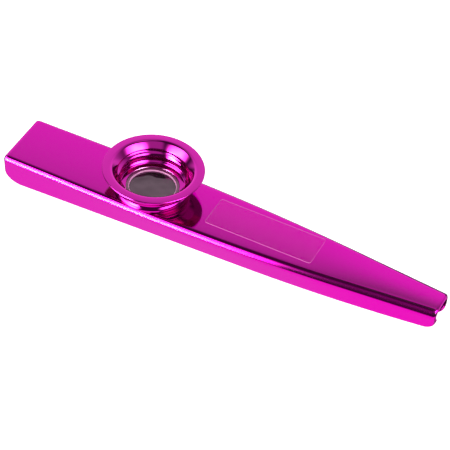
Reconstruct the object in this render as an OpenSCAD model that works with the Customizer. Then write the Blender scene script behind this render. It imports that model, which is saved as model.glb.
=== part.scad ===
// Metal kazoo: a flat-topped body pressed from two sheets, and a turret that
// screws down on a round membrane. All sizes are in millimetres.
// X runs along the body from the big end to the small end, Z is up, and the
// origin is under the middle of the body, on the face that it rests on.

/* [Body] */
// Length of the body, end to end
body_l = 121.2; // [112:0.1:136]
// Width across the top at the big end
big_end_w = 18.1; // [17.6:0.1:19]
// Width across the top at the small end
small_end_w = 9; // [8.4:0.1:10]
// How much narrower than the turret's collar the top would be at its shoulder,
// where its two straight tapers would meet
shoulder_inset = 0.2; // [0:0.1:0.4]
// Distance from the big end to that shoulder
shoulder_x = 64.4; // [56:0.1:70]
// How far the outline of the top is rounded in from the shoulder, each side
shoulder_drop = 0.82; // [0.5:0.01:1.2]
// Width across the underside at the big end
big_end_foot_w = 17.5; // [16.8:0.1:18.1]
// Width across the underside at the small end
small_end_foot_w = 7.5; // [7.4:0.1:9]
// Width at which the two straight tapers of the underside would meet
belly_w = 13.9; // [13.5:0.1:15.5]
// Distance from the big end to the place where they would meet
belly_x = 96.8; // [88:0.1:102]
// How far the outline of the underside is rounded in from that corner, each side
belly_drop = 0.74; // [0.4:0.01:1]
// Height of the body at the big end
big_end_h = 8.7; // [8.2:0.1:11]
// Height of the body at the small end
small_end_h = 6.6; // [6.4:0.1:8.2]
// Thickness of the body's sheet
sheet = 0.5; // [0.4:0.05:0.55]

/* [Edges] */
// Radius along the top edges at the big end
big_edge_r = 1.4; // [1.2:0.05:1.5]
// Radius along the top edges at the small end
small_edge_r = 1.9; // [1.6:0.05:1.95]
// Radius along the bottom edges
bottom_edge_r = 0.9; // [0.75:0.05:1.1]
// Radius of the lower corner at the big end, seen from the side
big_corner_r = 5; // [3:0.1:5.4]
// Radius of the lower corner at the small end, seen from the side
small_corner_r = 3.1; // [2.4:0.1:3.2]
// Radius of the rolled lip round the big end
big_lip_r = 1; // [0.7:0.05:1.1]
// Radius of the rolled lip round the small end
small_lip_r = 0.8; // [0.65:0.05:1.1]

/* [Underside] */
// Width of the hem that turns in under the tray
hem_w = 1.6; // [1.2:0.1:2.2]
// Height of the tray's own walls above its floor
tray_wall_h = 2.4; // [1.5:0.1:2.8]
// Play between the tray and the shell round it
tray_play = 0.05; // [0.03:0.01:0.1]

/* [Turret] */
// Distance from the big end to the turret's axis
turret_x = 39.6; // [34:0.1:50]
// Diameter of the cup's rim
rim_d = 26.5; // [25.5:0.1:30]
// Width of the flat ring on top of the rim
rim_flat_w = 1.85; // [1.5:0.05:2.4]
// Radius at which the rim turns down into the bell
rim_turn_r = 1.2; // [0.8:0.1:1.4]
// Height of the rim above the top plate
rim_h = 7.2; // [7:0.1:8.4]
// Height of the bell, from the neck of the cup to the rim
bell_h = 2.8; // [2.6:0.1:2.8]
// Outside diameter of the collar
collar_d = 19.8; // [19.2:0.1:20.2]
// Height of the collar above the top plate
collar_h = 4.2; // [4:0.1:4.3]
// Height of the collar's narrow base, below its thread
collar_base_h = 0.35; // [0.25:0.05:0.4]
// Sheet of the collar and of the cup
turret_sheet = 0.4; // [0.3:0.05:0.45]
// Outside diameter of the collar's foot, where it goes through the top plate
foot_d = 15; // [14.6:0.1:15]
// Diameter of the foot's rolled edge, under the top plate
foot_roll_d = 15.7; // [15.5:0.1:15.7]
// Width of the cup's floor, round its opening
cup_floor_w = 1.95; // [1.6:0.05:2.4]

/* [Rolled thread] */
// Rise of the thread in one turn
thread_pitch = 2.5; // [2.2:0.05:2.8]
// Depth of the thread, from crest to root
thread_depth = 0.54; // [0.3:0.02:0.6]
// Play between the threads of the cup and the collar
thread_play = 0.1; // [0.08:0.01:0.15]
// How far the thread of the cup runs on up into the bell
thread_run = 1.2; // [0.6:0.1:1.4]
// Where the thread starts round the turret, in degrees
thread_start = 140; // [0:1:359]

/* [Membrane] */
// Width of the ring that carries the film, from its edge to its opening
ring_w = 2.6; // [2.4:0.1:3.2]
// Thickness of that ring
ring_t = 0.45; // [0.3:0.05:0.6]
// Thickness of the film
film_t = 0.1; // [0.06:0.01:0.15]
// Play between the membrane and the wall of the collar
ring_play = 0.25; // [0.15:0.05:0.4]

/* [Label] */
// Length of the clear label
label_l = 29.8; // [20:0.1:32]
// Width of the clear label
label_w = 9.9; // [6:0.1:10.2]
// Distance from the turret's axis to the middle of the label
label_x = 32.2; // [30:0.1:33]
// Distance of the label from the centre line, away from the near edge
label_y = 0.7; // [0:0.1:0.8]
// Radius of the label's corners
label_corner_r = 0.6; // [0.2:0.1:1.5]
// Thickness of the label
label_t = 0.1; // [0.06:0.01:0.15]

/* [Hidden] */
$fn = 64;

// Colours
magenta = [0.84, 0.08, 0.62];
deep_magenta = [0.70, 0.04, 0.52];
pale_plastic = [0.90, 0.82, 0.88];
grey_film = [0.50, 0.46, 0.50, 0.8];
clear_film = [0.95, 0.75, 0.90, 0.35];

// Overrun of a cut, past the faces that it goes through
over = sheet;

// Steps round a rounded edge, round an end corner and along the body
edge_steps = 5;
hem_steps = 3;
corner_steps = 6;
body_steps = 14;

// Sides of the swept turret parts, and rows for one turn of the thread
sides = 48;
rows_per_turn = 10;
bell_steps = 10;

// The hem and the tray turn up and end at this angle round the end corners
hem_end_angle = 60;

// Radius of the rolled edge at the very end, where there is no hem
end_edge_r = sheet + tray_play;

// Width of the top at its shoulder
shoulder_w = collar_d - shoulder_inset;

// Slope of the top plate: it drops towards the small end
plate_tilt = atan((big_end_h - small_end_h) / body_l);

// Smooth lesser of two straight tapers that cross
function eased(a, b, drop) =
    min(a, b) - pow(max(4 * drop - abs(a - b), 0), 2) / (16 * drop);

function line(x, x0, w0, x1, w1) = w0 + (w1 - w0) * (x - x0) / (x1 - x0);

// Half widths and heights at a distance x from the big end
function top_half_w(x) = eased(
    line(x, 0, big_end_w / 2, shoulder_x, shoulder_w / 2),
    line(x, shoulder_x, shoulder_w / 2, body_l, small_end_w / 2), shoulder_drop);
function foot_half_w(x) = eased(
    line(x, 0, big_end_foot_w / 2, belly_x, belly_w / 2),
    line(x, belly_x, belly_w / 2, body_l, small_end_foot_w / 2), belly_drop);
function top_z(x) = line(x, 0, big_end_h, body_l, small_end_h);
function edge_r(x) = line(x, 0, big_edge_r, body_l, small_edge_r);

// Angle round the end corners, seen from the side: 0 at the end, 90 underneath
function corner_angle(x) =
    x < big_corner_r ? acos(1 - x / big_corner_r) :
    x > body_l - small_corner_r ? acos(1 - (body_l - x) / small_corner_r) : 90;
function corner_r(x) = x < body_l / 2 ? big_corner_r : small_corner_r;
function bottom_z(x) = corner_r(x) * (1 - sin(corner_angle(x)));

// Half width there, on the lean of the wall
function bottom_half_w(x) = line(bottom_z(x), 0, foot_half_w(x), top_z(x), top_half_w(x));

// Upright thickness of the sheet where it follows the end corners
function upright(x) = sheet / sin(max(corner_angle(x), hem_end_angle));

// Radius of the lower edge and width of the hem: both run out round the corners
function low_edge_r(x) = line(min(corner_angle(x), hem_end_angle),
    0, end_edge_r, hem_end_angle, bottom_edge_r);
function hem(x) = line(min(corner_angle(x), hem_end_angle),
    0, end_edge_r + tray_play, hem_end_angle, hem_w);

// Angle of the rolled lip: 0 along the body, 90 at the very end
function lip_r(x) = x < body_l / 2 ? big_lip_r : small_lip_r;
function lip_angle(x) = asin(max(1 - min(x, body_l - x) / lip_r(x), 0));

// How far the outer and inner faces are rolled in there
function outer_in(x) = lip_r(x) * (1 - cos(lip_angle(x)));
function inner_in(x) = sheet + (lip_r(x) - sheet) * (1 - cos(lip_angle(x)));

// The inner face of the lip bends about the same centre, so it ends sooner
function inner_x(x) = x + sheet * sin(lip_angle(x)) * (x < body_l / 2 ? 1 : -1);

// Distances from the big end at which the body's outline is taken
big_corner_xs = [for (i = [0:corner_steps])
    big_corner_r * (1 - cos(90 * i / corner_steps))];
small_corner_xs = [for (i = [corner_steps:-1:0])
    body_l - small_corner_r * (1 - cos(90 * i / corner_steps))];
middle_xs = [for (i = [1:body_steps - 1])
    line(i, 0, big_corner_r, body_steps, body_l - small_corner_r)];
body_xs = concat(big_corner_xs, middle_xs, small_corner_xs);

function arc(centre, r, from, to, steps) = [for (i = [0:steps])
    let (a = from + (to - from) * i / steps)
    [centre[0] + r * cos(a), centre[1] + r * sin(a)]];

// Angle of the line that touches two circles on their outer side
function touch_angle(low, low_r, high, high_r) =
    let (dy = high[0] - low[0], dz = high[1] - low[1])
    asin((low_r - high_r) / norm([dy, dz])) - atan(dy / dz);

// Half of one face of the shell in cross-section, from the hem up to the top.
// inset is how far the face lies inside the body's outline, raise how far the
// hem's face lies above the underside, and low_r the radius of its lower edge.
function shell_half(x, inset, raise, low_r) =
    let (
        high_r = max(edge_r(x) - inset, edge_r(x) / edge_steps),
        high = [top_half_w(x) - inset - high_r, top_z(x) - inset - high_r],
        low = [bottom_half_w(x) - inset - low_r, bottom_z(x) + raise + low_r],
        turn = touch_angle(low, low_r, high, high_r)
    )
    concat(
        [[bottom_half_w(x) - outer_in(x) - hem(x), bottom_z(x) + raise]],
        arc(low, low_r, -90, turn, hem_steps),
        arc(high, high_r, turn, 90, edge_steps));

function mirrored(half) = [for (i = [len(half) - 1:-1:0]) [-half[i][0], half[i][1]]];
function backwards(list) = [for (i = [len(list) - 1:-1:0]) list[i]];

// One closed ring of points round the sheet of the shell
function shell_ring(x) =
    let (
        outer = shell_half(x, outer_in(x), 0, low_edge_r(x)),
        inner = shell_half(x, inner_in(x), upright(x), low_edge_r(x) - sheet)
    )
    concat(
        [for (p = concat(outer, mirrored(outer))) [x - body_l / 2, p[0], p[1]]],
        [for (p = backwards(concat(inner, mirrored(inner))))
            [inner_x(x) - body_l / 2, p[0], p[1]]]);

// Faces of a body made of equal rings, with a flat cap of strips at each end.
// The caps join each point of the outer face to the one beside it inside.
function tube_faces(rings, n) = concat(
    [for (k = [0:rings - 2], i = [0:n - 1]) let (j = (i + 1) % n)
        [k * n + i, k * n + j, (k + 1) * n + j]],
    [for (k = [0:rings - 2], i = [0:n - 1]) let (j = (i + 1) % n)
        [k * n + i, (k + 1) * n + j, (k + 1) * n + i]],
    [for (i = [0:n / 2 - 2]) [i + 1, i, n - 1 - i, n - 2 - i]],
    [for (i = [0:n / 2 - 2]) let (m = (rings - 1) * n)
        [m + i, m + i + 1, m + n - 2 - i, m + n - 1 - i]]);

// Stations of the tray: it ends where the hem ends
tray_xs = [for (x = body_xs) if (corner_angle(x) >= hem_end_angle - 1) x];

// Half of one face of the tray, from the centre line out and up its wall
function tray_half(x, inset, raise, low_r) =
    let (
        high = [top_half_w(x) - edge_r(x), top_z(x) - edge_r(x)],
        low = [bottom_half_w(x) - bottom_edge_r, bottom_z(x) + bottom_edge_r],
        turn = touch_angle(low, bottom_edge_r, high, edge_r(x)),
        low_y = bottom_half_w(x) - inset - low_r,
        low_z = bottom_z(x) + raise + low_r,
        wall_z = bottom_z(x) + upright(x) + sheet + tray_wall_h,
        foot = [low_y + low_r * cos(turn), low_z + low_r * sin(turn)]
    )
    concat(
        arc([low_y, low_z], low_r, -90, turn, hem_steps),
        [[foot[0] - (wall_z - foot[1]) * tan(turn), wall_z]]);

function tray_ring(x) =
    let (
        outer = tray_half(x, sheet + tray_play, upright(x), bottom_edge_r - sheet / 2),
        inner = tray_half(x, 2 * sheet + tray_play, 2 * upright(x), bottom_edge_r - sheet)
    )
    [for (p = concat(mirrored(outer), outer, backwards(inner), backwards(mirrored(inner))))
        [x - body_l / 2, p[0], p[1]]];

module body_colour() { color(magenta) children(); }

// Puts its children on the top plate, with the turret's axis as their Z axis
module on_plate() {
    translate([turret_x - body_l / 2, 0, top_z(turret_x)])
        rotate([0, plate_tilt, 0])
            children();
}

// Pressed upper sheet: top plate, both walls, rolled lips and the hem
module upper_shell() {
    rings = [for (x = body_xs) shell_ring(x)];
    body_colour() difference() {
        polyhedron([for (r = rings) each r], tube_faces(len(rings), len(rings[0])));
        on_plate() translate([0, 0, -sheet - over])
            cylinder(h = sheet + 2 * over, d = foot_d + 2 * tray_play);
    }
}

// Pressed tray that closes the underside, held by the hem
module lower_shell() {
    rings = [for (x = tray_xs) tray_ring(x)];
    color(deep_magenta)
        polyhedron([for (r = rings) each r], tube_faces(len(rings), len(rings[0])));
}

// Rolled thread of the turret. The crest runs round as it climbs, and the sheet
// of the cup and that of the collar follow it with an even gap between them.
thread_half = thread_depth / 2;
thread_fade = thread_pitch / 4;
collar_bore_r = collar_d / 2 - turret_sheet;
collar_root_r = collar_bore_r - thread_depth;
cup_root_r = collar_root_r - thread_play;
neck_bore_r = cup_root_r - turret_sheet;
membrane_r = collar_root_r - ring_play;

// Levels above the top plate
seat_z = turret_sheet;
ring_z = seat_z + film_t;
cup_z = ring_z + ring_t;
floor_z = cup_z + turret_sheet;
bell_z = rim_h - bell_h;

// Inner face of the bell: from the neck it leans out on one large arc, and then
// turns over on a small one into the flat of the rim. Slopes are from the level.
flat_r = rim_d / 2 - rim_flat_w;
bell_slope = atan(bell_h / (flat_r - neck_bore_r));
turn_centre = [flat_r, rim_h - rim_turn_r];
bell_top = turn_centre + rim_turn_r * [-sin(bell_slope), cos(bell_slope)];
bell_chord = bell_top - [neck_bore_r, bell_z];
bell_bend = 2 * (atan(bell_chord[1] / bell_chord[0]) - bell_slope);
bell_r = norm(bell_chord) / (2 * sin(bell_bend / 2));
bell_centre = bell_top + bell_r * [sin(bell_slope), -cos(bell_slope)];
neck_slope = bell_slope + bell_bend;

// Level at which the outer face of the neck meets that of the bell
neck_z = bell_z - turret_sheet * tan((90 - neck_slope) / 2);

function crest(a, z) = cos(a - 360 * z / thread_pitch - thread_start);

// Share of the full depth at a height z between two levels, easing in at both
function fade_shares(z, low, high) =
    max(0, min(1, (z - low) / thread_fade, (high - z) / thread_fade));
function cup_shares(z) = fade_shares(z, floor_z, bell_z + thread_run);
function collar_shares(z) = fade_shares(z, cup_z, collar_h);

function rows(low, high) =
    let (n = ceil((high - low) * rows_per_turn / thread_pitch))
    [for (i = [0:n]) low + (high - low) * i / n];

// A sheet swept round the axis. Each point of the profile is its radius, its
// height and its share of the thread, which moves it out from a root (lean 1)
// or in from a crest (lean -1).
module rolled(profile, lean) {
    n = len(profile);
    points = [for (p = profile, i = [0:sides - 1])
        let (
            a = 360 * i / sides,
            r = p[0] + thread_half * p[2] * (crest(a, p[1]) + lean)
        )
        [r * cos(a), r * sin(a), p[1]]];
    faces = concat(
        [for (k = [0:n - 1], i = [0:sides - 1])
            let (m = (k + 1) % n, j = (i + 1) % sides)
            [k * sides + i, m * sides + j, k * sides + j]],
        [for (k = [0:n - 1], i = [0:sides - 1])
            let (m = (k + 1) % n, j = (i + 1) % sides)
            [k * sides + i, m * sides + i, m * sides + j]]);
    polyhedron(points, faces);
}

function plain(list) = [for (p = list) [p[0], p[1], 0]];

// One face of the bell, at a depth below its inner face, from the neck to the flat
function bell(depth) =
    [for (p = concat(
        arc(bell_centre, bell_r - depth, 90 + neck_slope, 90 + bell_slope, bell_steps),
        arc(turn_centre, rim_turn_r - depth, 90 + bell_slope * 2 / 3, 90, 2)))
        [p[0], p[1], cup_shares(p[1])]];

// Collar: a threaded neck on a narrow base, with a seat for the membrane, and a
// foot that goes through the top plate and is rolled out under it
module turret_collar() {
    r = collar_d / 2;
    base_r = r - thread_depth;
    foot_r = foot_d / 2;
    bore_r = foot_r - turret_sheet;
    round_r = turret_sheet / 2;
    wall = rows(cup_z, collar_h - round_r);
    profile = concat(
        plain([
            [bore_r, -sheet - round_r],
            [bore_r + round_r, -sheet - turret_sheet],
            [foot_roll_d / 2 - round_r, -sheet - turret_sheet],
            [foot_roll_d / 2, -sheet - round_r],
            [foot_roll_d / 2, -sheet],
            [foot_r, -sheet],
            [foot_r, 0],
            [base_r - round_r, 0],
            [base_r, round_r],
            [base_r, collar_base_h],
            [r, cup_z - round_r]]),
        [for (z = wall) [r, z, collar_shares(z)]],
        plain(arc([r - round_r, collar_h - round_r], round_r, 30, 150, 4)),
        [for (z = backwards(wall)) [collar_bore_r, z, collar_shares(z)]],
        plain([
            [collar_root_r, collar_base_h + round_r],
            [collar_root_r, seat_z],
            [bore_r, seat_z]]));
    body_colour() on_plate() rolled(profile, -1);
}

// Cup: rim, bell, threaded neck and a floor that holds the membrane down
module turret_cup() {
    rim_r = rim_d / 2;
    mouth_r = cup_root_r - cup_floor_w;
    round_r = turret_sheet / 2;
    corner = 1.5 * turret_sheet;
    wall = rows(cup_z + corner, neck_z);
    outer_bell = bell(turret_sheet);
    profile = concat(
        plain(arc([mouth_r + round_r, cup_z + round_r], round_r, 180, 270, 2)),
        plain(arc([cup_root_r - corner, cup_z + corner], corner, -90, -30, 2)),
        [for (z = wall) [cup_root_r, z, cup_shares(z)]],
        [for (i = [1:len(outer_bell) - 1]) outer_bell[i]],
        plain(arc([rim_r - round_r, rim_h - round_r], round_r, -90, 90, 4)),
        backwards(bell(0)),
        [for (z = backwards(wall)) [neck_bore_r, z, cup_shares(z)]],
        plain([[neck_bore_r - round_r, floor_z], [mouth_r + round_r, floor_z]]));
    body_colour() on_plate() rolled(profile, 1);
}

// Stiff ring of the membrane, bonded on top of the film
module membrane_ring() {
    color(pale_plastic) on_plate() translate([0, 0, ring_z]) difference() {
        cylinder(h = ring_t, r = membrane_r);
        translate([0, 0, -over]) cylinder(h = ring_t + 2 * over, r = membrane_r - ring_w);
    }
}

// Film that buzzes, on the seat of the collar
module membrane_film() {
    color(grey_film) on_plate() translate([0, 0, seat_z])
        cylinder(h = film_t, r = membrane_r);
}

// Bare clear label on the top plate
module clear_label() {
    l = label_l / 2 - label_corner_r;
    w = label_w / 2 - label_corner_r;
    color(clear_film) on_plate() translate([label_x, label_y, 0])
        linear_extrude(label_t) {
            square([label_l, 2 * w], center = true);
            square([2 * l, label_w], center = true);
            for (x = [-l, l], y = [-w, w]) translate([x, y]) circle(label_corner_r);
        }
}

upper_shell();
lower_shell();
turret_collar();
turret_cup();
membrane_ring();
membrane_film();
clear_label();
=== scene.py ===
import math

import bmesh
import bpy
from mathutils import Matrix, Vector


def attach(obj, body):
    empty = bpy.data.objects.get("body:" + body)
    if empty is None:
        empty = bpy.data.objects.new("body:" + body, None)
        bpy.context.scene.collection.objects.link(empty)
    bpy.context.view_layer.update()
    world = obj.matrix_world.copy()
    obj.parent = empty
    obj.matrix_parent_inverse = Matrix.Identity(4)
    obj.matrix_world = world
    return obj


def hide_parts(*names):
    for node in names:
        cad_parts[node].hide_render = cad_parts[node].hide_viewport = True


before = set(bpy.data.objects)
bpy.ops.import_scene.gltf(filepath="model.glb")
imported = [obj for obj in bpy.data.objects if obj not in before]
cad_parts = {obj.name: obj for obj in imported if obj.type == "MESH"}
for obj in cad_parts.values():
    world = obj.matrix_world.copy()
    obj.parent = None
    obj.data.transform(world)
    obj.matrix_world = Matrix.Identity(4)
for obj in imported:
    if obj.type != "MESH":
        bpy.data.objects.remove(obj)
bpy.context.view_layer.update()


# Camera
# It looks down on the kazoo from in front and from the small end's side, with a
# long lens and a slight roll, as the photograph was taken. Sizes are millimetres
# until a piece is finished, and metres after that.
mm = 0.001
body_l = 121.2
big_end_h = 8.7
small_end_h = 6.6
turret_x = 39.6
plate_slope = math.atan((big_end_h - small_end_h) / body_l)
plate_z = big_end_h - turret_x * math.tan(plate_slope)

# From the turret's own axes, with the top plate at zero, to the body's
on_plate = Matrix.Translation((turret_x - body_l / 2, 0, plate_z)) @ Matrix.Rotation(
    plate_slope, 4, "Y"
)

# Place and turn of the camera, from the turret's axes
camera_place = Vector((176.419, -362.885, 371.057))
camera_right = Vector((0.89134, 0.44856, 0.06547))
camera_up = Vector((-0.35212, 0.59416, 0.72317))

camera_data = bpy.data.cameras.new("camera")
camera_data.sensor_width = 36.0
camera_data.lens = 169.277
camera_data.clip_start = 0.01
camera_data.clip_end = 20.0
camera = bpy.data.objects.new("camera", camera_data)
turned = Matrix((camera_right, camera_up, camera_right.cross(camera_up))).transposed()
placed = on_plate @ Matrix.Translation(camera_place) @ turned.to_4x4()
camera.matrix_world = Matrix.Translation(placed.translation * mm) @ placed.to_3x3().to_4x4()
bpy.context.scene.collection.objects.link(camera)
bpy.context.scene.camera = camera


# Upper shell
# The upper sheet of the body, pressed in one piece from thin aluminium: the top
# plate, both walls, a rolled lip round each end, and the hem that turns in under
# the tray. It is polished, then dyed magenta.
sheet = 0.5
big_end_half, big_foot_half = 9.05, 8.75
small_end_half, small_foot_half = 4.5, 3.75
shoulder_x, shoulder_half, shoulder_drop = 64.4, 9.8, 0.82
belly_x, belly_half, belly_drop = 96.8, 6.95, 0.74
big_edge_r, small_edge_r, least_edge_r = 1.4, 1.9, 0.25
low_edge_r, end_edge_r = 0.9, 0.55
big_corner_r, small_corner_r = 5.0, 3.1
big_lip_r, small_lip_r = 1.0, 0.8
hem_w, end_hem_w = 1.6, 0.6
hem_end = math.radians(60)
edge_break_w = 0.08
sharp_angle, cut_angle = math.radians(40), math.radians(60)
weld_gap = 1e-5

lip_steps, corner_steps, body_steps = 8, 16, 64
hem_steps, low_edge_steps, wall_steps, edge_steps, plate_steps = 2, 6, 4, 12, 7

quarter = math.pi / 2


def line(x, x0, w0, x1, w1):
    return w0 + (w1 - w0) * (x - x0) / (x1 - x0)


def eased(a, b, drop):
    """The lesser of two tapers, rounded off where they cross."""
    return min(a, b) - max(4 * drop - abs(a - b), 0) ** 2 / (16 * drop)


def tapers(x, first, mid_x, mid_half, last, drop):
    """Half width at x, on one taper up to the middle place and on another past it."""
    return eased(
        line(x, 0, first, mid_x, mid_half), line(x, mid_x, mid_half, body_l, last), drop
    )


def top_half(x):
    return tapers(x, big_end_half, shoulder_x, shoulder_half, small_end_half, shoulder_drop)


def top_z(x):
    return line(x, 0, big_end_h, body_l, small_end_h)


def edge_r(x):
    return line(x, 0, big_edge_r, body_l, small_edge_r)


def end_gap(x):
    return min(x, body_l - x)


def corner_angle(x):
    """How far round the lower corner of its end x lies, and the radius of that corner."""
    r = big_corner_r if x < body_l / 2 else small_corner_r
    return math.acos(max(1 - end_gap(x) / r, 0)), r


def bottom_z(x):
    angle, r = corner_angle(x)
    return r * (1 - math.sin(angle))


def bottom_half(x):
    """Half width at the lower edge, which keeps to the lean of the wall at the ends."""
    foot = tapers(x, big_foot_half, belly_x, belly_half, small_foot_half, belly_drop)
    return line(bottom_z(x), 0, foot, top_z(x), top_half(x))


def lip_in(x):
    """How far the rolled lip draws the sheet in."""
    r = big_lip_r if x < body_l / 2 else small_lip_r
    return r - math.sqrt(r * r - max(r - end_gap(x), 0) ** 2)


def arc(centre, r, start, end, steps):
    turns = [start + (end - start) * i / steps for i in range(steps + 1)]
    return [(centre[0] + r * math.cos(a), centre[1] + r * math.sin(a)) for a in turns]


def between(a, b, steps):
    """Points from a to b, without b."""
    return [(line(i, 0, a[0], steps, b[0]), line(i, 0, a[1], steps, b[1])) for i in range(steps)]


def wall_lean(low, low_r, high, high_r):
    """Lean of the wall that touches the lower and the upper rounded edge."""
    dy, dz = high[0] - low[0], high[1] - low[1]
    return math.asin((low_r - high_r) / math.hypot(dy, dz)) - math.atan(dy / dz)


def shell_section(x):
    """The shell across its length at x, from one hem over the top to the other."""
    inset = lip_in(x)
    run_out = min(corner_angle(x)[0], hem_end)
    low_r = line(run_out, 0, end_edge_r, hem_end, low_edge_r)
    hem = line(run_out, 0, end_hem_w, hem_end, hem_w)
    high_r = max(edge_r(x) - inset, least_edge_r)
    half, foot = top_half(x) - inset, bottom_half(x) - inset
    high = (half - high_r, top_z(x) - inset - high_r)
    low = (foot - low_r, bottom_z(x) + low_r)
    lean = wall_lean(low, low_r, high, high_r)
    rolled_foot = arc(low, low_r, -quarter, lean, low_edge_steps)
    rolled_top = arc(high, high_r, lean, quarter, edge_steps)
    side = (
        between((foot - hem, bottom_z(x)), rolled_foot[0], hem_steps)
        + rolled_foot[:-1]
        + between(rolled_foot[-1], rolled_top[0], wall_steps)
        + rolled_top[:-1]
        + between(rolled_top[-1], (0, rolled_top[-1][1]), plate_steps)
    )
    return side + [(0, rolled_top[-1][1])] + [(-y, z) for y, z in reversed(side)]


def stations(first, last):
    """Places along the body where its section is taken, closer together at the ends."""
    ends = []
    for lip_r, corner_r, at_end in (
        (big_lip_r, big_corner_r, lambda d: d),
        (small_lip_r, small_corner_r, lambda d: body_l - d),
    ):
        lip = [lip_r * (1 - math.cos(quarter * i / lip_steps)) for i in range(lip_steps)]
        corner = [
            corner_r * (1 - math.cos(quarter * i / corner_steps)) for i in range(corner_steps + 1)
        ]
        ends += [at_end(d) for d in lip + [d for d in corner if d > lip_r]]
    middle = [
        line(i, 0, big_corner_r, body_steps, body_l - small_corner_r)
        for i in range(1, body_steps)
    ]
    return [x for x in sorted(ends + middle) if first <= x <= last]


def pressed_sheet(at, section):
    """A flat blank, pressed so that each row of it takes the section of its station."""
    sections = [section(x) for x in at]
    rows, points = len(at) - 1, len(sections[0]) - 1
    bm = bmesh.new()
    bmesh.ops.create_grid(bm, x_segments=rows, y_segments=points, size=0.5)
    for v in bm.verts:
        i, j = round((v.co.x + 0.5) * rows), round((v.co.y + 0.5) * points)
        v.co = (at[i] - body_l / 2, *sections[i][j])
    return bm


def finished(bm, name, body, nodes, material):
    """Makes a piece of a mesh in millimetres, in place of its CAD nodes."""
    bmesh.ops.remove_doubles(bm, verts=bm.verts, dist=weld_gap)
    bmesh.ops.recalc_face_normals(bm, faces=bm.faces)
    bmesh.ops.scale(bm, vec=(mm, mm, mm), verts=bm.verts)
    mesh = bpy.data.meshes.new(name)
    bm.to_mesh(mesh)
    bm.free()
    mesh.shade_smooth()
    mesh.set_sharp_from_angle(angle=sharp_angle)
    mesh.materials.append(material)
    piece = bpy.data.objects.new(name, mesh)
    bpy.context.scene.collection.objects.link(piece)
    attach(piece, body)
    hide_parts(*nodes)
    return piece


def sheet_metal(piece, thickness):
    """Gives a pressed sheet its thickness, inwards, and breaks its cut edges."""
    solid = piece.modifiers.new("thickness", "SOLIDIFY")
    solid.thickness = thickness * mm
    solid.offset = -1
    solid.use_even_offset = True
    broken = piece.modifiers.new("broken_edges", "BEVEL")
    broken.width = edge_break_w * mm
    broken.segments = 2
    broken.limit_method = "ANGLE"
    broken.angle_limit = cut_angle
    even = piece.modifiers.new("even_shading", "WEIGHTED_NORMAL")
    even.keep_sharp = True


def new_material(name):
    material = bpy.data.materials.new(name)
    material.use_nodes = True
    return material, material.node_tree, material.node_tree.nodes["Principled BSDF"]


def feed(tree, value, socket):
    """Sets a socket to a plain value, or links another node's output to it."""
    if isinstance(value, bpy.types.NodeSocket):
        tree.links.new(value, socket)
    else:
        socket.default_value = value


def maths(tree, operation, *values):
    node = tree.nodes.new("ShaderNodeMath")
    node.operation = operation
    for value, socket in zip(values, node.inputs):
        feed(tree, value, socket)
    return node.outputs[0]


def ramp(tree, value, start, end, full=1.0, easing="SMOOTHSTEP"):
    """None at the start, full at the end, and level beyond both."""
    node = tree.nodes.new("ShaderNodeMapRange")
    node.interpolation_type = easing
    feed(tree, value, node.inputs["Value"])
    for name, limit in (("From Min", start), ("From Max", end), ("To Max", full)):
        node.inputs[name].default_value = limit
    return node.outputs[0]


def on_piece(tree):
    """Place on the piece, in metres along the body's axes."""
    return tree.nodes.new("ShaderNodeTexCoord").outputs["Object"]


def parts_of(tree, vector):
    """The X, Y and Z of a vector, by name."""
    node = tree.nodes.new("ShaderNodeSeparateXYZ")
    tree.links.new(vector, node.inputs[0])
    return node.outputs


def noise(tree, fineness, detail):
    node = tree.nodes.new("ShaderNodeTexNoise")
    feed(tree, fineness, node.inputs["Scale"])
    node.inputs["Detail"].default_value = detail
    tree.links.new(on_piece(tree), node.inputs["Vector"])
    return node.outputs["Fac"]


haze_fineness, swell_fineness = 90, 70
swell_h = 0.5


def polish_group():
    """Hand-polished metal: its gloss and its flatness waver slightly."""
    group = bpy.data.node_groups.new("polish", "ShaderNodeTree")
    face = group.interface
    for name in ("Roughness", "Waver", "Ripple", "Fineness"):
        face.new_socket(name, in_out="INPUT", socket_type="NodeSocketFloat")
    face.new_socket("Roughness", in_out="OUTPUT", socket_type="NodeSocketFloat")
    face.new_socket("Normal", in_out="OUTPUT", socket_type="NodeSocketVector")
    given = group.nodes.new("NodeGroupInput").outputs
    made = group.nodes.new("NodeGroupOutput").inputs
    haze = maths(group, "SUBTRACT", noise(group, haze_fineness, 5), 0.5)
    dulled = maths(group, "MULTIPLY_ADD", haze, given["Waver"], given["Roughness"])
    group.links.new(dulled, made["Roughness"])
    swell = group.nodes.new("ShaderNodeBump")
    swell.inputs["Distance"].default_value = swell_h * mm
    group.links.new(given["Ripple"], swell.inputs["Strength"])
    group.links.new(noise(group, given["Fineness"], 1), swell.inputs["Height"])
    group.links.new(swell.outputs["Normal"], made["Normal"])
    return group


polish = polish_group()


def polished(tree, shader, roughness, waver, ripple, fineness=swell_fineness):
    """Gives a finish the polish, with values of its own."""
    skin = tree.nodes.new("ShaderNodeGroup")
    skin.node_tree = polish
    values = {"Roughness": roughness, "Waver": waver, "Ripple": ripple, "Fineness": fineness}
    for name, value in values.items():
        skin.inputs[name].default_value = value
    for name in ("Roughness", "Normal"):
        tree.links.new(skin.outputs[name], shader.inputs[name])


magenta = (0.81, 0.003, 0.51, 1)
dye_tint = (1.0, 0.15, 0.9, 1)
dye_waver = 0.03


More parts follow.
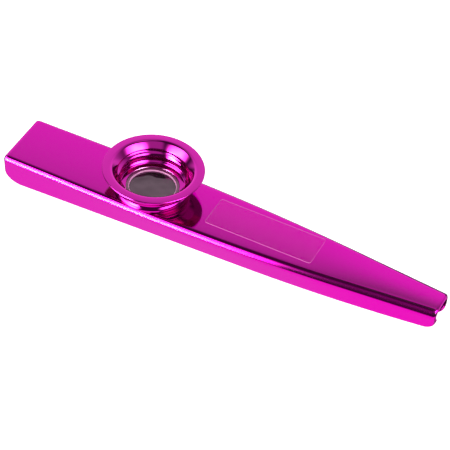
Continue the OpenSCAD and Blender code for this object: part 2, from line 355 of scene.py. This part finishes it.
def dyed_metal(name, colour, roughness, ripple, coat=0.36):
    """Polished aluminium under a clear dyed skin."""
    material, tree, shader = new_material(name)
    polished(tree, shader, roughness, dye_waver, ripple)
    shader.inputs["Base Color"].default_value = colour
    shader.inputs["Metallic"].default_value = 1
    shader.inputs["Specular Tint"].default_value = dye_tint
    shader.inputs["Coat Weight"].default_value = coat
    shader.inputs["Coat Roughness"].default_value = 0.04
    shader.inputs["Coat IOR"].default_value = 1.5
    return material


# The plate is crowned across by a hair, too little to model, and more so towards
# the small end: by a gain for each metre and by a rise past the belly
plate_crown = 2.7
crown_at_middle, crown_gain = 2, 14
crown_rise, rise_start_x, rise_end_x = 11.5, 18, 75


def crown(material):
    tree = material.node_tree
    normal = tree.nodes["Principled BSDF"].inputs["Normal"]
    place = parts_of(tree, on_piece(tree))
    squared = maths(tree, "MULTIPLY", place["Y"], place["Y"])
    along = maths(tree, "MULTIPLY_ADD", place["X"], crown_gain, crown_at_middle)
    rise = ramp(tree, place["X"], rise_start_x * mm, rise_end_x * mm, crown_rise)
    bow = tree.nodes.new("ShaderNodeBump")
    bow.invert = True
    bow.inputs["Distance"].default_value = plate_crown
    height = maths(tree, "MULTIPLY", squared, maths(tree, "ADD", along, rise))
    tree.links.new(height, bow.inputs["Height"])
    tree.links.new(normal.links[0].from_socket, bow.inputs["Normal"])
    tree.links.new(bow.outputs["Normal"], normal)


body_metal = dyed_metal("body_metal", magenta, roughness=0.09, ripple=0.03)
crown(body_metal)
upper_shell = finished(
    pressed_sheet(stations(0, body_l), shell_section),
    "upper_shell_skin",
    "body",
    ["upper_shell"],
    body_metal,
)
sheet_metal(upper_shell, sheet)

foot_hole_r = 7.55
punch_h = 3
turret_steps = 192


def pierce(piece, r):
    """Punches a round hole through a piece on the turret's axis, and keeps the result."""
    punch_bm = bmesh.new()
    bmesh.ops.create_cone(
        punch_bm, cap_ends=True, segments=turret_steps, radius1=r, radius2=r, depth=punch_h
    )
    bmesh.ops.transform(punch_bm, matrix=Matrix.Scale(mm, 4) @ on_plate, verts=punch_bm.verts)
    punch_mesh = bpy.data.meshes.new("punch")
    punch_bm.to_mesh(punch_mesh)
    punch_bm.free()
    punch = bpy.data.objects.new("punch", punch_mesh)
    bpy.context.scene.collection.objects.link(punch)
    hole = piece.modifiers.new("hole", "BOOLEAN")
    hole.object = punch
    hole.solver = "EXACT"
    graph = bpy.context.evaluated_depsgraph_get()
    pierced = bpy.data.meshes.new_from_object(piece.evaluated_get(graph))
    piece.modifiers.clear()
    piece.data = pierced
    bpy.data.objects.remove(punch)


pierce(upper_shell, foot_hole_r)


# Lower shell
# The tray that closes the underside: a second pressed sheet, dyed in the same
# bath, which lies inside the hem with its short walls up against the shell's.
tray_play = 0.05
tray_wall_h = 2.4
tray_wall_steps = 3
tray_ends = 1 - math.cos(hem_end)
tray_magenta = (0.72, 0.002, 0.45, 1)
station_slack = 0.001


def upright(x):
    """Upright thickness of the sheet where it follows the lower corners."""
    return sheet / math.sin(max(corner_angle(x)[0], hem_end))


def tray_section(x):
    """The tray across its length at x, from one wall under the channel to the other."""
    high = (top_half(x) - edge_r(x), top_z(x) - edge_r(x))
    low = (bottom_half(x) - low_edge_r, bottom_z(x) + low_edge_r)
    lean = wall_lean(low, low_edge_r, high, edge_r(x))
    r = low_edge_r - sheet / 2
    centre = (bottom_half(x) - sheet - tray_play - r, bottom_z(x) + upright(x) + r)
    turn = arc(centre, r, -quarter, lean, low_edge_steps)
    rim_z = bottom_z(x) + upright(x) + sheet + tray_wall_h
    rim = (turn[-1][0] - (rim_z - turn[-1][1]) * math.tan(lean), rim_z)
    half = between((0, turn[0][1]), turn[0], plate_steps) + turn[:-1]
    half += between(turn[-1], rim, tray_wall_steps) + [rim]
    return list(reversed(half)) + [(-y, z) for y, z in half[1:]]


tray = finished(
    pressed_sheet(
        stations(
            big_corner_r * tray_ends - station_slack,
            body_l - small_corner_r * tray_ends + station_slack,
        ),
        tray_section,
    ),
    "lower_shell_skin",
    "body",
    ["lower_shell"],
    dyed_metal("tray_metal", tray_magenta, roughness=0.12, ripple=0.03),
)
sheet_metal(tray, sheet)


# Turret collar
# A spun aluminium neck with a thread rolled in its wall, on a narrower base. It
# stands on the top plate, and its foot goes through the plate and is rolled out
# under it.
collar_r = 9.9
collar_h = 4.2
collar_base_h = 0.35
turret_sheet = 0.4
foot_r, foot_roll_r = 7.5, 7.85
base_turn_r, seat_turn_r = 0.12, 0.15
thread_pitch = 2.5
thread_depth = 0.54
thread_play = 0.1
thread_start = math.radians(140)
thread_fade = thread_pitch / 4
rows_per_turn = 32
foot_steps, turn_steps, roll_steps, flare_steps, inner_flare_steps = 8, 4, 12, 12, 8
film_t, ring_t = 0.1, 0.45

round_r = turret_sheet / 2
wall_slack = 0.05
collar_bore_r = collar_r - turret_sheet
collar_root_r = collar_bore_r - thread_depth
collar_base_r = collar_r - thread_depth
foot_bore_r = foot_r - turret_sheet
flare_z, inner_flare_z = collar_base_h - 0.05, collar_base_h + 0.1
seat_z = turret_sheet
cup_z = seat_z + film_t + ring_t
floor_z = cup_z + turret_sheet


def crest(v):
    """The rolled thread's wave, which climbs a pitch in each turn."""
    return math.cos(math.atan2(v.co.y, v.co.x) - math.tau * v.co.z / thread_pitch - thread_start)


def threaded_share(z, low, high):
    """Share of the thread's full depth at a height, easing in at both its ends."""
    share = max(0.0, min(1.0, (z - low) / thread_fade, (high - z) / thread_fade))
    return share * share * (3 - 2 * share)


def wall_rows(low, high):
    n = math.ceil((high - low) * rows_per_turn / thread_pitch)
    return [low + (high - low) * i / n for i in range(n + 1)]


def spun(profile):
    """A closed profile of (radius, height), spun once round the turret's axis."""
    bm = bmesh.new()
    ring = [bm.verts.new((r, 0, z)) for r, z in profile]
    edges = [bm.edges.new(pair) for pair in zip(ring, ring[1:] + ring[:1])]
    bmesh.ops.spin(
        bm,
        geom=ring + edges,
        cent=(0, 0, 0),
        axis=(0, 0, 1),
        dvec=(0, 0, 0),
        angle=math.tau,
        steps=turret_steps,
        use_merge=True,
        use_duplicate=False,
    )
    return bm


def roll_thread(bm, low, high, inner_r, lean):
    """Rolls the thread into the walls beyond a radius and between two heights."""
    for v in bm.verts:
        r = math.hypot(v.co.x, v.co.y)
        if r >= inner_r:
            share = threaded_share(v.co.z, low, high)
            grown = 1 + thread_depth / 2 * share * (crest(v) + lean) / r
            v.co.x *= grown
            v.co.y *= grown


def flare(low, high, steps):
    """The wall swings out from a low point to a high one, upright at both."""
    turns = [math.pi * i / steps for i in range(steps + 1)]
    return [
        (line(0.5 - math.cos(a) / 2, 0, low[0], 1, high[0]), line(a, 0, low[1], math.pi, high[1]))
        for a in turns
    ]


collar_wall = wall_rows(cup_z, collar_h - round_r)
seat_turn = (foot_bore_r + seat_turn_r, seat_z - seat_turn_r)
collar_profile = (
    arc((foot_roll_r - round_r, -sheet - round_r), round_r, -quarter, quarter, foot_steps)
    + [(foot_r, -sheet), (foot_r, 0), (collar_base_r - base_turn_r, 0)]
    + arc((collar_base_r - base_turn_r, base_turn_r), base_turn_r, -quarter, 0, turn_steps)[1:]
    + flare((collar_base_r, flare_z), (collar_r, cup_z), flare_steps)[:-1]
    + [(collar_r, z) for z in collar_wall]
    + arc((collar_r - round_r, collar_h - round_r), round_r, 0, math.pi, roll_steps)[1:-1]
    + [(collar_bore_r, z) for z in reversed(collar_wall)]
    + flare((collar_bore_r, cup_z), (collar_root_r, inner_flare_z), inner_flare_steps)[1:]
    + [(collar_root_r, seat_z), (seat_turn[0], seat_z)]
    + arc(seat_turn, seat_turn_r, quarter, math.pi, turn_steps)[1:]
    + arc((foot_bore_r + round_r, -sheet - round_r), round_r, math.pi, 3 * quarter, turn_steps)
)
collar_bm = spun(collar_profile)
roll_thread(collar_bm, cup_z, collar_h, collar_bore_r - wall_slack, -1)
bmesh.ops.transform(collar_bm, matrix=on_plate, verts=collar_bm.verts)
turret_metal = dyed_metal("turret_metal", magenta, roughness=0.05, ripple=0.0)
finished(collar_bm, "turret_collar_neck", "body", ["turret_collar"], turret_metal)


# Membrane
# A film of grey plastic, stretched flat and bonded under a pale stiff ring. It
# lies loose on the collar's seat, and the floor of the cup holds it down.
ring_play, ring_w = 0.25, 2.6
ring_turn_r = 0.12
membrane_r = collar_root_r - ring_play
ring_bore_r = membrane_r - ring_w
ring_z = seat_z + film_t
ring_turn_z = ring_z + ring_t - ring_turn_r
# The pale ring's face is painted near black for the shade down in the cup, and the rounding at
# its bore pale pink as a painted highlight.
ring_painted_shade, ring_painted_highlight = (0.10, 0.02, 0.06, 1), (0.85, 0.35, 0.65, 1)
fade_half = 0.05


def paint_edge_highlight(material, r, coloured, edge_highlight_colour):
    """Paints a piece pale nearer to the turret's axis than a radius: a painted highlight along
    its inner edge.
    """
    tree = material.node_tree
    from_axis = tree.nodes.new("ShaderNodeMapping")
    from_axis.inputs["Location"].default_value = (-on_plate.translation.x * mm, 0, 0)
    from_axis.inputs["Scale"].default_value = (1, 1, 0)
    tree.links.new(on_piece(tree), from_axis.inputs["Vector"])
    away = tree.nodes.new("ShaderNodeVectorMath")
    away.operation = "LENGTH"
    tree.links.new(from_axis.outputs[0], away.inputs[0])
    colour = tree.nodes.new("ShaderNodeMix")
    colour.data_type = "RGBA"
    colour.inputs["A"].default_value = coloured
    colour.inputs["B"].default_value = edge_highlight_colour
    outer, inner = (r + fade_half) * mm, (r - fade_half) * mm
    inside = ramp(tree, away.outputs["Value"], outer, inner, easing="LINEAR")
    tree.links.new(inside, colour.inputs["Factor"])
    shader = tree.nodes["Principled BSDF"]
    tree.links.new(colour.outputs["Result"], shader.inputs["Base Color"])


ring_profile = (
    arc((ring_bore_r + ring_turn_r, ring_turn_z), ring_turn_r, quarter, math.pi, turn_steps)
    + [(ring_bore_r, ring_z), (membrane_r, ring_z)]
    + arc((membrane_r - ring_turn_r, ring_turn_z), ring_turn_r, 0, quarter, turn_steps)
)
ring_bm = spun(ring_profile)
bmesh.ops.transform(ring_bm, matrix=on_plate, verts=ring_bm.verts)
ring_plastic, _, ring_shader = new_material("ring_plastic")
# Painted shade on the ring's face, and a painted highlight on its bore's rounding.
paint_edge_highlight(ring_plastic, ring_bore_r + ring_turn_r, ring_painted_shade, ring_painted_highlight)
ring_shader.inputs["Roughness"].default_value = 0.06
ring_shader.inputs["IOR"].default_value = 2.2
ring_shader.inputs["Specular Tint"].default_value = (1.0, 0.7, 0.9, 1)
finished(
    ring_bm, "membrane_ring_disc", "membrane", ["membrane_ring"], ring_plastic
)

film_bm = bmesh.new()
bmesh.ops.create_cone(
    film_bm,
    cap_ends=True,
    cap_tris=False,
    segments=turret_steps,
    radius1=membrane_r,
    radius2=membrane_r,
    depth=film_t,
)
bmesh.ops.translate(film_bm, vec=(0, 0, seat_z + film_t / 2), verts=film_bm.verts)
bmesh.ops.transform(film_bm, matrix=on_plate, verts=film_bm.verts)
film_plastic, film_tree, film_shader = new_material("film")
polished(film_tree, film_shader, roughness=0.1, waver=0.04, ripple=0.9, fineness=190)
film_shader.inputs["Base Color"].default_value = (0.007, 0.006, 0.007, 1)
film_shader.inputs["IOR"].default_value = 2.3
film_shader.inputs["Specular Tint"].default_value = (1.0, 0.62, 0.84, 1)
finished(film_bm, "membrane_film_sheet", "membrane", ["membrane_film"], film_plastic)


# Turret cup
# Spun from the same sheet as the collar: a flat rim, a bell that leans out from the
# neck on a large arc and turns over into the rim on a small one, a neck with the
# thread rolled in it up into the bell, and a floor with a round opening.
rim_r, rim_flat_w, rim_h = 13.25, 1.85, 7.2
rim_turn_r = 1.2
bell_steps, rim_turn_steps, floor_turn_steps = 24, 14, 8
bell_h = 2.8
bell_z = rim_h - bell_h
thread_run = 1.2
cup_floor_w = 1.95
cup_root_r = collar_root_r - thread_play
mouth_r = cup_root_r - cup_floor_w
neck_bore_r = cup_root_r - turret_sheet
flat_r = rim_r - rim_flat_w
floor_turn_r = 1.5 * turret_sheet
floor_inner_r = floor_turn_r - turret_sheet

bell_slope = math.atan(bell_h / (flat_r - neck_bore_r))
turn_centre = (flat_r, rim_h - rim_turn_r)
bell_top_r = flat_r - rim_turn_r * math.sin(bell_slope)
bell_top_z = rim_h - rim_turn_r * (1 - math.cos(bell_slope))
chord_r, chord_z = bell_top_r - neck_bore_r, bell_top_z - bell_z
bell_bend = 2 * (math.atan(chord_z / chord_r) - bell_slope)
bell_r = math.hypot(chord_r, chord_z) / (2 * math.sin(bell_bend / 2))
bell_centre = (
    bell_top_r + bell_r * math.sin(bell_slope),
    bell_top_z - bell_r * math.cos(bell_slope),
)
neck_slope = bell_slope + bell_bend
neck_z = bell_z - turret_sheet * math.tan((quarter - neck_slope) / 2)


def bell(depth):
    """A face of the bell at a depth in the sheet, from the neck out to the rim's flat."""
    start, middle = quarter + neck_slope, quarter + bell_slope
    lean = arc(bell_centre, bell_r - depth, start, middle, bell_steps)
    turn = arc(turn_centre, rim_turn_r - depth, middle, quarter, rim_turn_steps)
    return lean + turn[1:]


cup_wall = wall_rows(cup_z + floor_turn_r, neck_z)
floor_turn = (cup_root_r - floor_turn_r, cup_z + floor_turn_r)
floor_inner = (neck_bore_r - floor_inner_r, floor_z + floor_inner_r)
cup_profile = (
    arc((mouth_r + round_r, cup_z + round_r), round_r, quarter, 3 * quarter, foot_steps)
    + arc(floor_turn, floor_turn_r, -quarter, 0, floor_turn_steps)[:-1]
    + [(cup_root_r, z) for z in cup_wall]
    + bell(turret_sheet)[1:]
    + arc((rim_r - round_r, rim_h - round_r), round_r, -quarter, quarter, roll_steps)
    + list(reversed(bell(0)))
    + [(neck_bore_r, z) for z in reversed(cup_wall)]
    + arc(floor_inner, floor_inner_r, 0, -quarter, turn_steps)
)
cup_bm = spun(cup_profile)
roll_thread(cup_bm, floor_z, bell_z + thread_run, neck_bore_r - wall_slack, 1)
bmesh.ops.transform(cup_bm, matrix=on_plate, verts=cup_bm.verts)

cup_coat = 0.6
# The pale pink round the cup's mouth is a painted highlight along its rounded edge, in a thin
# band inside the opening.
mouth_painted_highlight = (0.9, 0.45, 0.72, 1)
mouth_highlight_w = 0.04
cup_metal = dyed_metal("cup_metal", magenta, roughness=0.05, ripple=0.0, coat=cup_coat)
paint_edge_highlight(cup_metal, mouth_r + mouth_highlight_w, magenta, mouth_painted_highlight)
finished(cup_bm, "turret_cup_bell", "cup", ["turret_cup"], cup_metal)


# Clear label
# A bare sticker of clear film with small rounded corners, pressed down on the top
# plate between the turret and the small end. A faint glow stands in for the light
# that its cut edges catch.
label_l, label_w, label_t = 29.8, 9.9, 0.1
label_x, label_y = 32.2, 0.7
label_corner_r = 0.6
edge_light = 0.3

label_bm = bmesh.new()
bmesh.ops.create_cube(label_bm, size=1)
bmesh.ops.scale(label_bm, vec=(label_l, label_w, label_t), verts=label_bm.verts)
bmesh.ops.bevel(
    label_bm,
    geom=[e for e in label_bm.edges if abs(e.verts[0].co.z - e.verts[1].co.z) > label_t / 2],
    affect="EDGES",
    offset=label_corner_r,
    segments=6,
    profile=0.5,
    material=-1,
)
bmesh.ops.translate(label_bm, vec=(label_x, label_y, label_t / 2), verts=label_bm.verts)
bmesh.ops.transform(label_bm, matrix=on_plate, verts=label_bm.verts)
label_film, label_tree, label_shader = new_material("label_film")
label_shader.inputs["Base Color"].default_value = (1.0, 0.97, 0.98, 1)
label_shader.inputs["Roughness"].default_value = 0.04
label_shader.inputs["Transmission Weight"].default_value = 1
label_shader.inputs["IOR"].default_value = 1.13
facing = label_tree.nodes.new("ShaderNodeNewGeometry").outputs["True Normal"]
upward = parts_of(label_tree, facing)["Z"]
cut_edge = maths(label_tree, "COMPARE", upward, 0, 0.5)
label_tree.links.new(cut_edge, label_shader.inputs["Emission Color"])
label_shader.inputs["Emission Strength"].default_value = edge_light
finished(label_bm, "clear_label_film", "body", ["clear_label"], label_film)


# Studio
# A plain white floor in even light. What the metal mirrors is set by direction: a
# soft box on either side, a strip low in front, a pale wall behind, the floor, and
# dark air between them.
floor_half = 4
floor_drop = 0.02
floor_bm = bmesh.new()
bmesh.ops.create_grid(floor_bm, x_segments=1, y_segments=1, size=floor_half)
bmesh.ops.translate(floor_bm, vec=(0, 0, -floor_drop * mm), verts=floor_bm.verts)
floor_mesh = bpy.data.meshes.new("floor")
floor_bm.to_mesh(floor_mesh)
floor_bm.free()
floor_paper, _, floor_shader = new_material("floor_paper")
floor_shader.inputs["Base Color"].default_value = (0.7, 0.7, 0.7, 1)
floor_shader.inputs["Roughness"].default_value = 0.9
floor_shader.inputs["Specular IOR Level"].default_value = 0.1
floor_shader.inputs["Emission Color"].default_value = (1, 1, 1, 1)
floor_shader.inputs["Emission Strength"].default_value = 0.6
floor_mesh.materials.append(floor_paper)
floor = bpy.data.objects.new("floor", floor_mesh)
bpy.context.scene.collection.objects.link(floor)
floor.visible_glossy = False

white, pink = (1, 1, 1, 1), (1, 0.25, 0.95, 1)
even_light, seen_wall = 0.7, 1.0
first_mirror_depth = 2.5
box_kept, room_kept = 0.1, 0.3

world = bpy.data.worlds.new("studio")
bpy.context.scene.world = world
world.use_nodes = True
sky = world.node_tree
way = parts_of(sky, sky.nodes.new("ShaderNodeTexCoord").outputs["Generated"])
bearing = maths(sky, "ARCTAN2", way["Y"], way["X"])
height = maths(sky, "ARCSINE", way["Z"])
ray = sky.nodes.new("ShaderNodeLightPath").outputs


def soft_light(strength, bearings, heights, sharpness=1):
    """Light between bearings and heights in degrees, as none, full, full and none."""
    middle = (bearings[1] + bearings[2]) / 2
    off_middle = maths(sky, "SUBTRACT", bearing, math.radians(middle))
    off_middle = maths(sky, "WRAP", off_middle, math.pi, -math.pi)
    offsets = [math.radians(b - middle) for b in bearings]
    levels = [math.radians(h) for h in heights]
    light = ramp(sky, off_middle, offsets[0], offsets[1])
    light = maths(sky, "MULTIPLY", ramp(sky, off_middle, offsets[3], offsets[2]), light)
    light = maths(sky, "MULTIPLY", ramp(sky, height, levels[0], levels[1]), light)
    light = maths(sky, "MULTIPLY", ramp(sky, height, levels[3], levels[2]), light)
    return maths(sky, "MULTIPLY", maths(sky, "POWER", light, sharpness), strength)


def together(*lights):
    total = lights[0]
    for light in lights[1:]:
        total = maths(sky, "ADD", light, total)
    return total


def kept_to(share):
    """Full light in the metal itself, and a share of it in what the metal mirrors."""
    mirrors = maths(sky, "SUBTRACT", ray["Ray Depth"], ray["Transmission Depth"])
    first_mirror = maths(sky, "LESS_THAN", mirrors, first_mirror_depth)
    return maths(sky, "MULTIPLY_ADD", first_mirror, 1 - share, share)


def background(strength, colour=white):
    node = sky.nodes.new("ShaderNodeBackground")
    node.inputs["Color"].default_value = colour
    feed(sky, strength, node.inputs["Strength"])
    return node.outputs[0]


def pick(kind, others, chosen):
    """One light for rays of a kind, and another for all others."""
    node = sky.nodes.new("ShaderNodeMixShader")
    for value, socket in zip((ray[kind], others, chosen), node.inputs):
        sky.links.new(value, socket)
    return node.outputs[0]


left_box = soft_light(14.0, (184, 220, 240, 272), (0, 22, 30, 58), 2)
low_strip = soft_light(34.0, (214, 238, 252, 264), (-20, -6, 12, 32), 2)
right_box = soft_light(14.0, (306, 338, 352, 396), (4, 26, 34, 58), 2)
boxes = together(left_box, low_strip, right_box)

dark_air = 0.05
overhead = soft_light(0.5, (-20, 30, 120, 138), (60, 76, 91, 92))
front_floor = soft_light(0.9, (170, 200, 240, 264), (-91, -90, -28, -18))
back_floor = soft_light(0.3, (-30, 10, 170, 200), (-91, -90, -28, -18))
floor_below = soft_light(0.6, (-30, 10, 170, 200), (-91, -90, -66, -52))
low_wall = soft_light(0.9, (70, 110, 150, 165), (-10, -2, 8, 16))
back_wall = soft_light(0.82, (14, 86, 160, 190), (4, 14, 28, 82))
end_wall = soft_light(0.6, (10, 26, 60, 80), (-50, -40, 4, 16))
front_haze = soft_light(0.35, (262, 280, 330, 345), (28, 42, 58, 72))
room = together(
    dark_air,
    overhead,
    front_floor,
    back_floor,
    floor_below,
    low_wall,
    back_wall,
    end_wall,
    front_haze,
)

# The floor in front is tinted by the light that the kazoo throws on it
pink_floor = soft_light(1.0, (240, 264, 325, 350), (-91, -90, -28, -18))
boxes_seen = maths(sky, "MULTIPLY", boxes, kept_to(box_kept))
room_seen = maths(sky, "MULTIPLY", room, kept_to(room_kept))
mirrored = sky.nodes.new("ShaderNodeAddShader")
sky.links.new(background(maths(sky, "ADD", boxes_seen, room_seen)), mirrored.inputs[0])
sky.links.new(background(pink_floor, pink), mirrored.inputs[1])
lit = pick("Is Diffuse Ray", mirrored.outputs[0], background(even_light))
lit = pick("Is Camera Ray", lit, background(seen_wall))
sky.links.new(lit, sky.nodes["World Output"].inputs["Surface"])
sky.nodes.remove(sky.nodes["Background"])

bpy.context.scene.view_settings.view_transform = "Standard"
